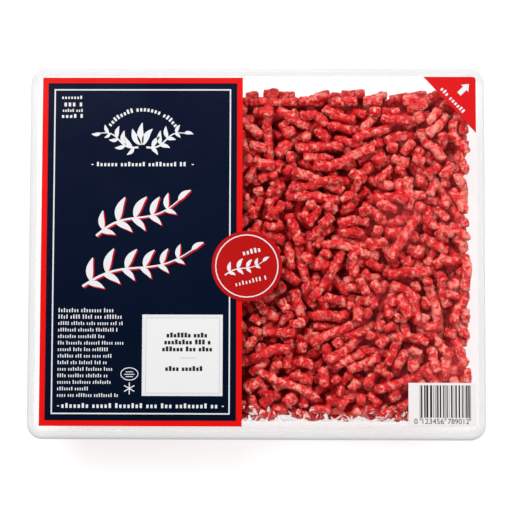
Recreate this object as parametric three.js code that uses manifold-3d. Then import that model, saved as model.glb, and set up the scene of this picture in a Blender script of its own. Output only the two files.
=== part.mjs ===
// A supermarket pack of raw minced meat, in millimetres, +Z up.
// A clear thermoformed tray with a flat sealing flange holds a heap of soft minced strands. A clear film is
// welded across the flange. On the film lie a large printed label, a round seal that laps over the label's
// edge, a corner that shows where to peel, and a small label for the bar code.
// The origin is under the middle of the pack, on the surface that it stands on.
import * as THREE from "three";
import { mergeVertices } from "three/addons/utils/BufferGeometryUtils.js";
import Module from "manifold-3d";

const wasm = await Module();
wasm.setup();

// Driving dimensions
const PACK_X = 225;
const PACK_Y = 184;
const TRAY_HEIGHT = 32;
const FLANGE_WIDTH = 4.9;
const CORNER_RADIUS = 8;
const LIP_DROP = 2.2; // how far the flange's outer edge is turned down
const WALL = 0.6;
const STEP_DEPTH = 3; // from the flange down to the ledge that a stacked tray would stand on
const STEP_WIDTH = 1.5;
const WALL_TAPER = 5.2; // how much further in the wall is at its foot than at its top, on each side
const MOUTH_RADIUS = 3;
const BASE_RADIUS = 14;
const FOOT_WIDTH = 9;
const PANEL_RISE = 1.2; // how far the middle of the base is pushed up off the table
const FILM = 0.2;
const LABEL = 0.2;
const INK = 0.1;
const STRAND = 5.2; // the diameter of one strand of mince
const LONGEST_STRAND = 32;
const SHORTEST_STRAND = 8;
const HEAP_DEPTH = 22.5;
const FULLNESS = { rise: 2.4, from: 40, to: 100 }; // how much higher the heap's right end is, and from where
const PUSHED = { share: 0.8, from: 78, to: 100, flatTo: 52, endsAt: 76 }; // where it is pushed up to the wall
const TOP_STRANDS = 100;
const WALL_STRANDS = 40;

// Levels and half sizes worked out from the driving dimensions
const HALF_X = PACK_X / 2;
const HALF_Y = PACK_Y / 2;
const MOUTH_X = HALF_X - FLANGE_WIDTH;
const MOUTH_Y = HALF_Y - FLANGE_WIDTH;
const STEP_Z = TRAY_HEIGHT - STEP_DEPTH;
const WALL_FOOT_Z = 4.5;
const FLOOR_Z = PANEL_RISE + WALL;
const FILM_TOP = TRAY_HEIGHT + FILM;
const LABEL_TOP = FILM_TOP + LABEL;
const FIELD_TOP = LABEL_TOP + INK;
const PRINT_TOP = FIELD_TOP + INK;
const SEAL_TOP = PRINT_TOP + LABEL;

// Finishes
const finish = (color, roughness, more = {}) =>
  new THREE.MeshStandardMaterial({ color, roughness, metalness: 0, ...more });
const clearPlastic = finish(0xeef2f3, 0.08, { transparent: true, opacity: 0.25 });
const clearFilm = finish(0xf4f6f7, 0.05, { transparent: true, opacity: 0.15 });
const rawMince = finish(0xbd2e2f, 0.35);
const redInk = finish(0xe41a17, 0.35);
const navyInk = finish(0x101c36, 0.35);
const whiteInk = finish(0xf2f2f2, 0.45);
const sealRed = finish(0xba1615, 0.35);
const peelRed = finish(0xdf1f20, 0.35);
const paleLabel = finish(0xe9e8e8, 0.5);

// A geometry as a solid that can be joined and cut
function solidOf(geometry) {
  const bare = new THREE.BufferGeometry().setAttribute("position", geometry.getAttribute("position"));
  bare.setIndex(geometry.index);
  const merged = mergeVertices(bare, 1e-4);
  return new wasm.Manifold(
    new wasm.Mesh({
      numProp: 3,
      vertProperties: new Float32Array(merged.getAttribute("position").array),
      triVerts: new Uint32Array(merged.index.array),
    }),
  );
}

// A joined or cut solid as a geometry again. Only its largest skin is kept, so that a hollow sealed in by the
// joining is filled, and a loose scrap is dropped.
function geometryOf(solid) {
  const { vertProperties, triVerts, numVert } = solid.getMesh();
  const linked = Array.from({ length: numVert }, (_, i) => i);
  const rootOf = (i) => {
    while (linked[i] !== i) i = linked[i] = linked[linked[i]];
    return i;
  };
  const point = (i) => new THREE.Vector3().fromArray(vertProperties, 3 * i);
  const triangles = [];
  for (let t = 0; t < triVerts.length; t += 3) triangles.push([...triVerts.slice(t, t + 3)]);
  triangles.forEach(([a, b, c]) => {
    linked[rootOf(a)] = rootOf(b);
    linked[rootOf(b)] = rootOf(c);
  });
  const volumes = new Map();
  triangles.forEach(([a, b, c]) => {
    const volume = point(a).dot(point(b).cross(point(c))) / 6;
    volumes.set(rootOf(a), (volumes.get(rootOf(a)) ?? 0) + volume);
  });
  const largest = [...volumes].reduce((best, entry) => (entry[1] > best[1] ? entry : best))[0];
  const geometry = new THREE.BufferGeometry();
  geometry.setAttribute("position", new THREE.BufferAttribute(vertProperties, 3));
  geometry.setIndex(triangles.filter(([a]) => rootOf(a) === largest).flat());
  const faceted = geometry.toNonIndexed();
  faceted.computeVertexNormals();
  return faceted;
}

// A form turned on a lathe and then pulled out to a rectangle with round corners. Each level of its profile
// is given by how far it lies outside the tray's mouth, its height and the radius of its corners, from the
// middle of the underside to the middle of the top.
function squareLathe(levels) {
  const perCorner = 6;
  const centre = { out: -MOUTH_X, radius: 0 };
  const profile = [{ ...centre, z: levels[0].z }, ...levels, { ...centre, z: levels.at(-1).z }];
  const lathe = new THREE.LatheGeometry(
    profile.map(({ radius, z }) => new THREE.Vector2(radius, z)),
    4 * perCorner,
  );
  const corners = lathe.getAttribute("position");
  for (let i = 0; i < corners.count; i++) {
    const { out, radius, z } = profile[i % profile.length];
    const column = Math.floor(i / profile.length) % (4 * perCorner);
    const quarter = Math.floor(column / perCorner);
    const angle = (quarter + (column % perCorner) / (perCorner - 1)) * (Math.PI / 2);
    const straightX = Math.max(MOUTH_X + out - radius, 0) * (quarter === 0 || quarter === 3 ? 1 : -1);
    const straightY = (radius ? MOUTH_Y + out - radius : 0) * (quarter < 2 ? 1 : -1);
    corners.setXYZ(i, straightX + radius * Math.cos(angle), straightY + radius * Math.sin(angle), z);
  }
  return lathe;
}

// One level of the tray's inner wall, moved out by a distance. The corners widen towards the foot.
function wallLevel(z, out = 0) {
  const taper = THREE.MathUtils.clamp((STEP_Z - z) / (STEP_Z - WALL_FOOT_Z), 0, 1);
  const depth = THREE.MathUtils.clamp((TRAY_HEIGHT - z) / (TRAY_HEIGHT - WALL_FOOT_Z), 0, 1);
  const radius = THREE.MathUtils.lerp(MOUTH_RADIUS, BASE_RADIUS, depth) + out;
  return { out: out - STEP_WIDTH - WALL_TAPER * taper, radius, z };
}

// The tray: one sheet of plastic, followed up the outside, over the flange and down the inside
function makeTray() {
  const footCurve = 3; // how far the foot of the wall turns in to meet the table
  const foot = wallLevel(WALL_FOOT_Z);
  const base = (inset, z) => ({ out: foot.out - inset, radius: foot.radius - inset / 2, z });
  const rim = (inset, z) => ({ out: FLANGE_WIDTH - inset, radius: CORNER_RADIUS - inset, z });
  const mouth = (out, z) => ({ out, radius: MOUTH_RADIUS + out, z });
  const stepSlope = 0.8;
  return squareLathe([
    base(footCurve + FOOT_WIDTH + 1, PANEL_RISE),
    base(footCurve + FOOT_WIDTH, 0),
    base(footCurve, 0),
    base(footCurve * 0.3 - WALL, WALL_FOOT_Z * 0.25),
    wallLevel(WALL_FOOT_Z, WALL),
    wallLevel(STEP_Z - WALL, WALL),
    mouth(WALL - stepSlope, STEP_Z - WALL),
    mouth(WALL, TRAY_HEIGHT - WALL),
    rim(1.4, TRAY_HEIGHT - WALL),
    rim(WALL, TRAY_HEIGHT - 1.3),
    rim(WALL, TRAY_HEIGHT - LIP_DROP),
    rim(0, TRAY_HEIGHT - LIP_DROP),
    rim(0, TRAY_HEIGHT - 1),
    rim(0.35, TRAY_HEIGHT - 0.3),
    rim(1, TRAY_HEIGHT),
    mouth(0, TRAY_HEIGHT),
    mouth(-stepSlope, STEP_Z),
    wallLevel(STEP_Z - 0.01),
    wallLevel(WALL_FOOT_Z),
    base(footCurve * 0.3, WALL_FOOT_Z * 0.25 + WALL),
    base(footCurve + 0.4, WALL),
    base(footCurve + FOOT_WIDTH - 0.4, WALL),
    base(footCurve + FOOT_WIDTH + 1, FLOOR_Z),
  ]);
}

// The space that the mince may fill: the tray's inside, drawn in by a gap
function makeRoom(gap) {
  const foot = wallLevel(WALL_FOOT_Z, -gap);
  const floor = { out: foot.out - 4.4, radius: foot.radius - 2, z: FLOOR_Z };
  return solidOf(squareLathe([floor, foot, wallLevel(STEP_Z - 1, -gap), wallLevel(TRAY_HEIGHT - 0.8, -gap)]));
}

// A repeatable stream of random numbers from 0 to 1
function randomStream(seed) {
  let state = seed;
  return () => {
    state = (state + 0x6d2b79f5) | 0;
    let mixed = Math.imul(state ^ (state >>> 15), 1 | state);
    mixed = (mixed + Math.imul(mixed ^ (mixed >>> 7), 61 | mixed)) ^ mixed;
    return ((mixed ^ (mixed >>> 14)) >>> 0) / 2 ** 32;
  };
}

// Sizes of the heap
const HEAP_GAP = 0.5; // the room left between the mince and the tray's wall
const SHOULDER = 13; // how far in from its edge the heap is level
const SHOULDER_DROP = 8;
const HEAP_CORNER = 14;
const SHOWS_FROM = -12; // the film is bare to the right of this, and the printed label hides the rest

// How far a point lies inside a rectangle with round corners
function insideBy(x, y, halfX, halfY, radius) {
  const dx = Math.abs(x) - (halfX - radius);
  const dy = Math.abs(y) - (halfY - radius);
  return radius - Math.hypot(Math.max(dx, 0), Math.max(dy, 0)) - Math.min(Math.max(dx, dy), 0);
}

// The height of the heap: slow swells in the middle, rounded off at the wall, and fuller at its right end,
// where the middle of that side is pushed up against the wall
function heapTop(x, y) {
  const edge = insideBy(x, y, MOUTH_X + 1, MOUTH_Y - 4, HEAP_CORNER);
  const { clamp, smoothstep } = THREE.MathUtils;
  const alongY = 1 - smoothstep(Math.abs(y), PUSHED.flatTo, PUSHED.endsAt);
  const pushedUp = smoothstep(x, PUSHED.from, PUSHED.to) * alongY;
  const rounding = (1 - clamp(edge / SHOULDER, 0, 1)) * (1 - PUSHED.share * pushedUp);
  const swell = 1.2 * Math.sin(x / 19 + 0.6) * Math.cos(y / 23 - 0.4) + 0.7 * Math.sin((x + 2 * y) / 31);
  const fuller = FULLNESS.rise * smoothstep(x, FULLNESS.from, FULLNESS.to);
  return FLOOR_Z + HEAP_DEPTH + swell + fuller - SHOULDER_DROP * rounding * rounding;
}

// The core of the heap: a block with the heap's top, trimmed to the inside of the tray
function makeCore() {
  const cell = 10;
  const sunk = STRAND * 0.45;
  const block = new THREE.BoxGeometry(PACK_X, PACK_Y, 2, Math.round(PACK_X / cell), Math.round(PACK_Y / cell), 1);
  const corners = block.getAttribute("position");
  for (let i = 0; i < corners.count; i++) {
    const [x, y] = [corners.getX(i), corners.getY(i)];
    corners.setZ(i, corners.getZ(i) > 0 ? heapTop(x, y) - sunk : -1);
  }
  return solidOf(block).intersect(makeRoom(HEAP_GAP + STRAND * 0.3));
}

// One strand of mince: a six-sided tube bent along its path, with blunt ends
function makeStrand(path, radius) {
  const outline = new THREE.Path().absarc(0, 0, radius, 0, 2 * Math.PI);
  const section = new THREE.Shape(outline.getSpacedPoints(6).slice(0, 6));
  const curve = path.length > 2 ? new THREE.CatmullRomCurve3(path) : new THREE.LineCurve3(...path);
  return solidOf(new THREE.ExtrudeGeometry(section, { steps: path.length - 1, extrudePath: curve }));
}

// A map of the heap's surface in square cells: how high the ground is, and where no strand lies yet
const CELL = 1.5;
const COLUMNS = Math.ceil(PACK_X / CELL);
const ROWS = Math.ceil(PACK_Y / CELL);
const cellAt = (x, y) => Math.floor((y + HALF_Y) / CELL) * COLUMNS + Math.floor((x + HALF_X) / CELL);

function startGround() {
  const ground = new Float32Array(COLUMNS * ROWS);
  for (let row = 0; row < ROWS; row++)
    for (let column = 0; column < COLUMNS; column++)
      ground[row * COLUMNS + column] =
        heapTop((column + 0.5) * CELL - HALF_X, (row + 0.5) * CELL - HALF_Y) - STRAND * 0.55;
  return { ground, bare: new Uint8Array(COLUMNS * ROWS).fill(1) };
}

// The points along a strand's place on the map: a short line with a slight bow
function pointsAlong({ x, y, turn, bow, length }) {
  const count = Math.max(Math.round(length / CELL), 2);
  return Array.from({ length: count + 1 }, (_, i) => {
    const along = i / count - 0.5;
    const aside = bow * (1 - 4 * along * along);
    return new THREE.Vector2(along * length, aside).rotateAround(new THREE.Vector2(), turn).add({ x, y });
  });
}

// The cells under a strand at one of its points, each with its distance from the strand's middle line
function cellsUnder(x, y) {
  const cells = [];
  for (let dy = -STRAND / 2; dy <= STRAND / 2; dy += CELL)
    for (let dx = -STRAND / 2; dx <= STRAND / 2; dx += CELL)
      if (Math.hypot(dx, dy) <= STRAND / 2) cells.push([cellAt(x + dx, y + dy), Math.hypot(dx, dy)]);
  return cells;
}

// The best of several places drawn for a strand: inside the tray, low, and on as much bare heap as possible
function choosePlace(length, { ground, bare }, random) {
  const draws = 40;
  let best = null;
  for (let draw = 0; draw < draws; draw++) {
    const place = {
      length,
      x: THREE.MathUtils.lerp(SHOWS_FROM, MOUTH_X, random()),
      y: THREE.MathUtils.lerp(-MOUTH_Y, MOUTH_Y, random()),
      turn: random() * Math.PI,
      bow: length > 18 ? (random() - 0.5) * length * 0.25 : 0,
    };
    const line = pointsAlong(place);
    if (line.some((p) => insideBy(p.x, p.y, MOUTH_X - 2.2, MOUTH_Y - 4.6, HEAP_CORNER) < STRAND / 2)) continue;
    const covered = line.flatMap((p) => cellsUnder(p.x, p.y)).reduce((sum, [cell]) => sum + bare[cell], 0);
    const highest = Math.max(...line.map((p) => ground[cellAt(p.x, p.y)]));
    const score = covered / line.length - Math.max(0, highest - (STEP_Z - STRAND)) * 20;
    if (!best || score > best.score) best = { line, score };
  }
  return best?.line;
}

// Where a strand comes to rest on the ground: it bends over what lies under its ends and its middle
function settle(line, radius, length, { ground }) {
  const knots = length > 18 ? 3 : 2;
  const heights = line.map((p) => ground[cellAt(p.x, p.y)]);
  return Array.from({ length: knots }, (_, i) => {
    const middle = Math.round((i / (knots - 1)) * (line.length - 1));
    const highest = Math.max(...heights.filter((_, j) => Math.abs(j - middle) < line.length / knots));
    const rest = (highest + heights[middle]) / 2;
    return new THREE.Vector3(line[middle].x, line[middle].y, Math.min(rest + radius * 0.8, STEP_Z - 0.6));
  });
}

// The strands on top of the heap, the longest first. Each raises the ground where it lies.
function layTopStrands(random) {
  const map = startGround();
  const strands = [];
  for (let k = 0; k < TOP_STRANDS; k++) {
    const length = THREE.MathUtils.lerp(LONGEST_STRAND, SHORTEST_STRAND, k / TOP_STRANDS) * (0.85 + 0.3 * random());
    const radius = (STRAND / 2) * (0.9 + 0.2 * random());
    const line = choosePlace(length, map, random);
    if (!line) continue;
    const knots = settle(line, radius, length, map);
    strands.push(makeStrand(knots, radius));
    line.forEach((p, i) => {
      const middle = THREE.MathUtils.lerp(knots[0].z, knots.at(-1).z, i / (line.length - 1));
      cellsUnder(p.x, p.y).forEach(([cell, off]) => {
        const top = middle + Math.sqrt(Math.max(radius * radius - off * off, 0)) - radius * 0.3;
        map.ground[cell] = Math.max(map.ground[cell], top);
        map.bare[cell] = 0;
      });
    });
  }
  return strands;
}

// The strands pressed against the wall, which show through the tray's sides
function layWallStrands(random) {
  const lowest = FLOOR_Z + STRAND / 2;
  const highest = FLOOR_Z + HEAP_DEPTH - 6;
  const pressedIn = HEAP_GAP + STRAND / 2 + 0.1;
  return Array.from({ length: WALL_STRANDS }, (_, k) => {
    const start = (k + 0.3 + 0.4 * random()) / WALL_STRANDS;
    const z = THREE.MathUtils.lerp(WALL_FOOT_Z + 1, highest - 3, random());
    const length = 9 + 14 * random();
    const rise = (random() - 0.5) * 0.7 * length;
    const share = length / (4 * (MOUTH_X + MOUTH_Y));
    const knots = [-0.5, 0, 0.5].map((along) => {
      const height = THREE.MathUtils.clamp(z + along * rise, lowest, highest);
      const { out, radius } = wallLevel(height, -pressedIn);
      const outline = roundedRect(MOUTH_X + out, MOUTH_Y + out, radius);
      const { x, y } = outline.getPointAt((start + along * share + 1) % 1);
      return new THREE.Vector3(x, y, height);
    });
    return makeStrand(knots, (STRAND / 2) * (0.9 + 0.15 * random()));
  });
}

// The mince: the core and all its strands, joined and trimmed to the room in the tray
function makeMince() {
  const random = randomStream(20);
  const strands = [...layTopStrands(random), ...layWallStrands(random)];
  const heap = strands.reduce((joined, strand) => joined.add(strand), makeCore());
  return geometryOf(heap.intersect(makeRoom(HEAP_GAP)));
}

// Places on the film, measured from the middle of the pack
const SHEET = { left: -106.2, right: -7, bottom: -85.4, top: 86.8 };
const FIELD_INSET = 2.8;
const LINE_INSET = FIELD_INSET + 3;
const LINE_WIDTH = 0.65;
const DATE_PANEL = { left: -55.9, right: -16.4, bottom: -70.6, top: -30.8 };
const SEAL = { x: -4.7, y: -6.8, radius: 17.4, ringRadius: 15.6, ringWidth: 0.55 };
const PEEL = { right: 108.1, top: 87.3, width: 25.8, height: 28, corner: 1.5 };
const ARROW = { x: 102.3, y: 81.2, length: 7, width: 2.4, headWidth: 5, headLength: 3 };
const BAR_CODE = { left: 74.4, right: 107.4, bottom: -84.8, top: -63.8 };

// The outline of a rectangle with round corners, centred on the origin
function roundedRect(halfX, halfY, radius) {
  const shape = new THREE.Shape();
  shape.absarc(halfX - radius, halfY - radius, radius, 0, Math.PI / 2);
  shape.absarc(-halfX + radius, halfY - radius, radius, Math.PI / 2, Math.PI);
  shape.absarc(-halfX + radius, -halfY + radius, radius, Math.PI, 1.5 * Math.PI);
  shape.absarc(halfX - radius, -halfY + radius, radius, 1.5 * Math.PI, 2 * Math.PI);
  shape.closePath();
  return shape;
}

// A rectangle given by its sides, drawn in by an inset
function rectangle({ left, right, bottom, top }, inset = 0) {
  const shape = new THREE.Shape();
  shape.moveTo(left + inset, bottom + inset);
  shape.lineTo(right - inset, bottom + inset);
  shape.lineTo(right - inset, top - inset);
  shape.lineTo(left + inset, top - inset);
  return shape;
}

function frameShape(sides, inset, width) {
  const shape = rectangle(sides, inset);
  shape.holes.push(rectangle(sides, inset + width));
  return shape;
}

function disc(x, y, radius) {
  return new THREE.Shape().absarc(x, y, radius, 0, 2 * Math.PI);
}

function ringShape(x, y, radius, width) {
  const shape = disc(x, y, radius);
  shape.holes.push(disc(x, y, radius - width));
  return shape;
}

// The peel corner: a right triangle, rounded where it meets the corner of the tray's mouth
function peelShape({ right, top, width, height, corner }) {
  const shape = new THREE.Shape();
  shape.moveTo(right - width, top);
  shape.lineTo(right, top - height);
  shape.absarc(right - corner, top - corner, corner, 0, Math.PI / 2);
  return shape;
}

// A block arrow that points to the pack's corner
function arrowShape({ x, y, length, width, headWidth, headLength }) {
  const [tip, neck, tail] = [length / 2, length / 2 - headLength, -length / 2];
  const shape = new THREE.Shape();
  const goTo = (along, aside, go) => {
    const p = new THREE.Vector2(x + along, y + aside).rotateAround(new THREE.Vector2(x, y), Math.PI / 4);
    go.call(shape, p.x, p.y);
  };
  goTo(tail, -width / 2, shape.moveTo);
  goTo(neck, -width / 2, shape.lineTo);
  goTo(neck, -headWidth / 2, shape.lineTo);
  goTo(tip, 0, shape.lineTo);
  goTo(neck, headWidth / 2, shape.lineTo);
  goTo(neck, width / 2, shape.lineTo);
  goTo(tail, width / 2, shape.lineTo);
  return shape;
}

// A thin sheet cut to a shape
function sheet(shape, thickness) {
  return new THREE.ExtrudeGeometry(shape, { depth: thickness, bevelEnabled: false, curveSegments: 16 });
}

const pack = new THREE.Group();
function add(name, geometry, material, z = 0) {
  const mesh = new THREE.Mesh(geometry, material);
  mesh.name = name;
  mesh.position.z = z;
  pack.add(mesh);
}

const filmOutline = roundedRect(HALF_X - 0.5, HALF_Y - 0.5, CORNER_RADIUS - 0.5);
add("tray", makeTray(), clearPlastic);
add("mince", makeMince(), rawMince);
add("lid_film", sheet(filmOutline, FILM), clearFilm, TRAY_HEIGHT);
add("label_sheet", sheet(rectangle(SHEET), LABEL), redInk, FILM_TOP);
add("label_field", sheet(rectangle(SHEET, FIELD_INSET), INK), navyInk, LABEL_TOP);
add("label_line", sheet(frameShape(SHEET, LINE_INSET, LINE_WIDTH), INK), whiteInk, FIELD_TOP);
add("date_panel", sheet(rectangle(DATE_PANEL), INK), paleLabel, FIELD_TOP);
add("round_seal", sheet(disc(SEAL.x, SEAL.y, SEAL.radius), LABEL), sealRed, PRINT_TOP);
add("seal_ring", sheet(ringShape(SEAL.x, SEAL.y, SEAL.ringRadius, SEAL.ringWidth), INK), whiteInk, SEAL_TOP);
add("peel_corner", sheet(peelShape(PEEL), LABEL), peelRed, FILM_TOP);
add("peel_arrow", sheet(arrowShape(ARROW), INK), whiteInk, LABEL_TOP);
add("bar_code_label", sheet(rectangle(BAR_CODE), LABEL), paleLabel, FILM_TOP);

export default pack;
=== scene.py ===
import math
import bmesh
import bpy
import numpy as np
from mathutils import Matrix, Vector


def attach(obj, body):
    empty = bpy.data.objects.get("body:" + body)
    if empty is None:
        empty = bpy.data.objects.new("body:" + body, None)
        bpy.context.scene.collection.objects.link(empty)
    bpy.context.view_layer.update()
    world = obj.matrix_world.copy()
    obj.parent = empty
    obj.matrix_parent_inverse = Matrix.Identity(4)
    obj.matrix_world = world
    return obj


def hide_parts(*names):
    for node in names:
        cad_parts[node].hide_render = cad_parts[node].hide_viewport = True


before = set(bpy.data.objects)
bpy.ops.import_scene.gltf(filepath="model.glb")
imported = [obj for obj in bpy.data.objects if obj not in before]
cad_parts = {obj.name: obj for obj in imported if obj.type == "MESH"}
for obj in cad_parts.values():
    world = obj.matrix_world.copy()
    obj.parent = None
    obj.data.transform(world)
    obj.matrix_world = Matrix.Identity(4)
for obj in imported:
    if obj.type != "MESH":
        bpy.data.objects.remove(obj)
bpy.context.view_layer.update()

# Camera: a long lens about 0.94 m above the film, five degrees off the vertical towards the foot of the label and
# a little to the right, as in the photograph.
MM = 0.001
LOOKS_AT = Vector((-0.23, -1.83, 32.2)) * MM
TILT, SWING, ROLL = math.radians(5.0), math.radians(11.2), math.radians(0.198)
DISTANCE = 0.9377
back = Vector((math.sin(SWING) * math.sin(TILT), -math.cos(SWING) * math.sin(TILT), math.cos(TILT)))
level_right = Vector((0, 1, 0)).cross(back).normalized()
level_up = back.cross(level_right)
right = level_right * math.cos(ROLL) + level_up * math.sin(ROLL)
up = level_up * math.cos(ROLL) - level_right * math.sin(ROLL)
camera_data = bpy.data.cameras.new("camera")
camera_data.sensor_width = 36
camera_data.lens = 134.1
camera = bpy.data.objects.new("camera", camera_data)
camera.matrix_world = Matrix.Translation(LOOKS_AT + back * DISTANCE) @ Matrix((right, up, back)).transposed().to_4x4()
bpy.context.scene.collection.objects.link(camera)
bpy.context.scene.camera = camera
bpy.context.scene.view_settings.view_transform = "Standard"


# Studio: a white light table, a white room and two soft boxes. The large one stands at the top left of the pack and
# gives the mince its highlights, and the small one fills from the right.
def new_material(name):
    material = bpy.data.materials.new(name)
    material.use_nodes = True
    tree = material.node_tree
    return material, tree, tree.nodes["Principled BSDF"]


def add_node(tree, kind, inputs=None, **settings):
    node = tree.nodes.new(kind)
    for name, value in settings.items():
        setattr(node, name, value)
    for socket, value in (inputs or {}).items():
        if isinstance(value, bpy.types.NodeSocket):
            tree.links.new(value, node.inputs[socket])
        else:
            node.inputs[socket].default_value = value
    return node


def noise(tree, coords, scale, detail=2.0, roughness=0.5, distortion=0.0):
    inputs = {"Vector": coords, "Scale": scale, "Detail": detail, "Roughness": roughness, "Distortion": distortion}
    return add_node(tree, "ShaderNodeTexNoise", inputs).outputs["Fac"]


def own_coords(tree):
    return add_node(tree, "ShaderNodeTexCoord").outputs["Object"]


def make_piece(name, source, material, smooth=True):
    if isinstance(source, bmesh.types.BMesh):
        mesh = bpy.data.meshes.new(name)
        source.to_mesh(mesh)
        source.free()
    else:
        mesh = source
    piece = bpy.data.objects.new(name, mesh)
    bpy.context.scene.collection.objects.link(piece)
    mesh.materials.append(material)
    if smooth:
        mesh.shade_smooth()
    return piece


def soft_box(name, place, width, height, watts):
    data = bpy.data.lights.new(name, "AREA")
    data.shape = "RECTANGLE"
    data.size, data.size_y, data.energy = width, height, watts
    light = bpy.data.objects.new(name, data)
    light.location = place
    light.rotation_euler = Vector(place).to_track_quat("Z", "Y").to_euler()
    bpy.context.scene.collection.objects.link(light)


table_white, tree, shader = new_material("table_white")
shade = add_node(tree, "ShaderNodeValToRGB", {"Fac": noise(tree, own_coords(tree), 6.0)})
shade.color_ramp.elements[0].color = (0.44, 0.44, 0.44, 1)
shade.color_ramp.elements[1].color = (0.47, 0.47, 0.47, 1)
tree.links.new(shade.outputs["Color"], shader.inputs["Base Color"])
shader.inputs["Roughness"].default_value = 0.9
shader.inputs["Specular IOR Level"].default_value = 0.0
shader.inputs["Emission Color"].default_value = (1, 1, 1, 1)
shader.inputs["Emission Strength"].default_value = 0.69
bm = bmesh.new()
bmesh.ops.create_grid(bm, x_segments=1, y_segments=1, size=3.0, matrix=Matrix.Translation((0, 0, -0.1 * MM)))
make_piece("table", bm, table_white, smooth=False)

room = bpy.data.worlds.new("room")
bpy.context.scene.world = room
room.use_nodes = True
tree = room.node_tree
direction = add_node(tree, "ShaderNodeTexCoord").outputs["Generated"]
height = add_node(tree, "ShaderNodeSeparateXYZ", {0: direction}).outputs["Z"]
walls = add_node(tree, "ShaderNodeValToRGB", {"Fac": height})
walls.color_ramp.elements[0].position, walls.color_ramp.elements[0].color = 0.84, (1, 1, 1, 1)
walls.color_ramp.elements[1].position, walls.color_ramp.elements[1].color = 0.96, (0.06, 0.06, 0.06, 1)
tree.links.new(walls.outputs["Color"], tree.nodes["Background"].inputs["Color"])
tree.nodes["Background"].inputs["Strength"].default_value = 0.55
soft_box("soft_box_key", (-0.35, 0.75, 0.95), 0.9, 0.7, 15.6)
soft_box("soft_box_fill", (0.9, 0.1, 0.8), 0.5, 0.7, 5.6)


# Tray: one thermoformed sheet of clear plastic. The middle of its base is raised off the table, its wall opens
# towards a ledge just under the flange, and the flange's outer edge is turned down into a lip.
MOUTH_X, MOUTH_Y = 107.6, 87.1
MOUTH_RADIUS, BASE_RADIUS = 3.0, 14.0
TRAY_TOP, LEDGE_Z, WALL_FOOT_Z = 32.0, 29.0, 4.5
LEDGE_WIDTH, WALL_TAPER = 1.5, 5.2
FLANGE, FLANGE_RADIUS = 4.9, 8.0
LIP_INSETS, LIP_DROPS = (0.0, 0.15, 0.5, 1.0, 1.8, 3.0), (2.2, 1.3, 0.75, 0.38, 0.12, 0.0)
SHEET_THICKNESS = 0.45


def wall_inset(z):
    return LEDGE_WIDTH + WALL_TAPER * np.clip((LEDGE_Z - z) / (LEDGE_Z - WALL_FOOT_Z), 0, 1)


def wall_radius(z):
    return MOUTH_RADIUS + (BASE_RADIUS - MOUTH_RADIUS) * np.clip((TRAY_TOP - z) / (TRAY_TOP - WALL_FOOT_Z), 0, 1)


def maths(tree, operation, *values):
    return add_node(tree, "ShaderNodeMath", dict(enumerate(values)), operation=operation).outputs[0]


def remap(tree, value, from_low, from_high, to_low=0.0, to_high=1.0, ease="LINEAR"):
    inputs = {"Value": value, "From Min": from_low, "From Max": from_high, "To Min": to_low, "To Max": to_high}
    return add_node(tree, "ShaderNodeMapRange", inputs, interpolation_type=ease).outputs[0]


def blend(tree, share, first, second):
    """Mixes two colours, which are the Mix node's sockets 6 and 7 and its result 2."""
    return add_node(tree, "ShaderNodeMix", {"Factor": share, 6: first, 7: second}, data_type="RGBA").outputs[2]


def raised(tree, height, strength, distance):
    """The normals of a height pattern, with the distance in millimetres."""
    inputs = {"Height": height, "Strength": strength, "Distance": distance * MM}
    return add_node(tree, "ShaderNodeBump", inputs).outputs[0]


def clear_plastic(name, tint, painted_edge_grey, sharpness, least_gloss, most_gloss, roughness):
    """A see-through sheet that greys where it turns edge on, with a soft ripple, and more gloss at a flat angle."""
    material, tree, shader = new_material(name)
    tree.nodes.remove(shader)
    coords = own_coords(tree)
    facing = add_node(tree, "ShaderNodeLayerWeight", {"Blend": 0.5}).outputs["Facing"]
    # The grey where the sheet turns edge on is painted: it stands for darker surroundings seen bent through it.
    edge = maths(tree, "POWER", facing, sharpness)
    colour = blend(tree, edge, tint, painted_edge_grey)
    ripple = noise(tree, coords, 90.0, 3.0)
    bump = raised(tree, ripple, 0.12, 0.4)
    through = add_node(tree, "ShaderNodeBsdfTransparent", {"Color": colour}).outputs[0]
    shine = {"Color": (1, 1, 1, 1), "Roughness": roughness, "Normal": bump}
    gloss = add_node(tree, "ShaderNodeBsdfGlossy", shine).outputs[0]
    turned = add_node(tree, "ShaderNodeLayerWeight", {"Blend": 0.5, "Normal": bump}).outputs["Facing"]
    flat_angle = maths(tree, "POWER", turned, 5.0)
    mirror = remap(tree, flat_angle, 0, 1, least_gloss, most_gloss)
    mixed = add_node(tree, "ShaderNodeMixShader", {0: mirror, 1: through, 2: gloss}).outputs[0]
    tree.links.new(mixed, tree.nodes["Material Output"].inputs["Surface"])
    return material, tree, coords, mixed


def base_level(inset, clearance):
    """A level of the base, given how far its underside is from the table."""
    foot = float(wall_inset(WALL_FOOT_Z))
    return -foot - inset, float(wall_radius(WALL_FOOT_Z)) - inset / 2, clearance + SHEET_THICKNESS


def wall_level(z, outward=0.0):
    return outward - float(wall_inset(z)), outward + float(wall_radius(z)), z


def rim_level(inset, z):
    return FLANGE - inset, FLANGE_RADIUS - inset, z


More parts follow.
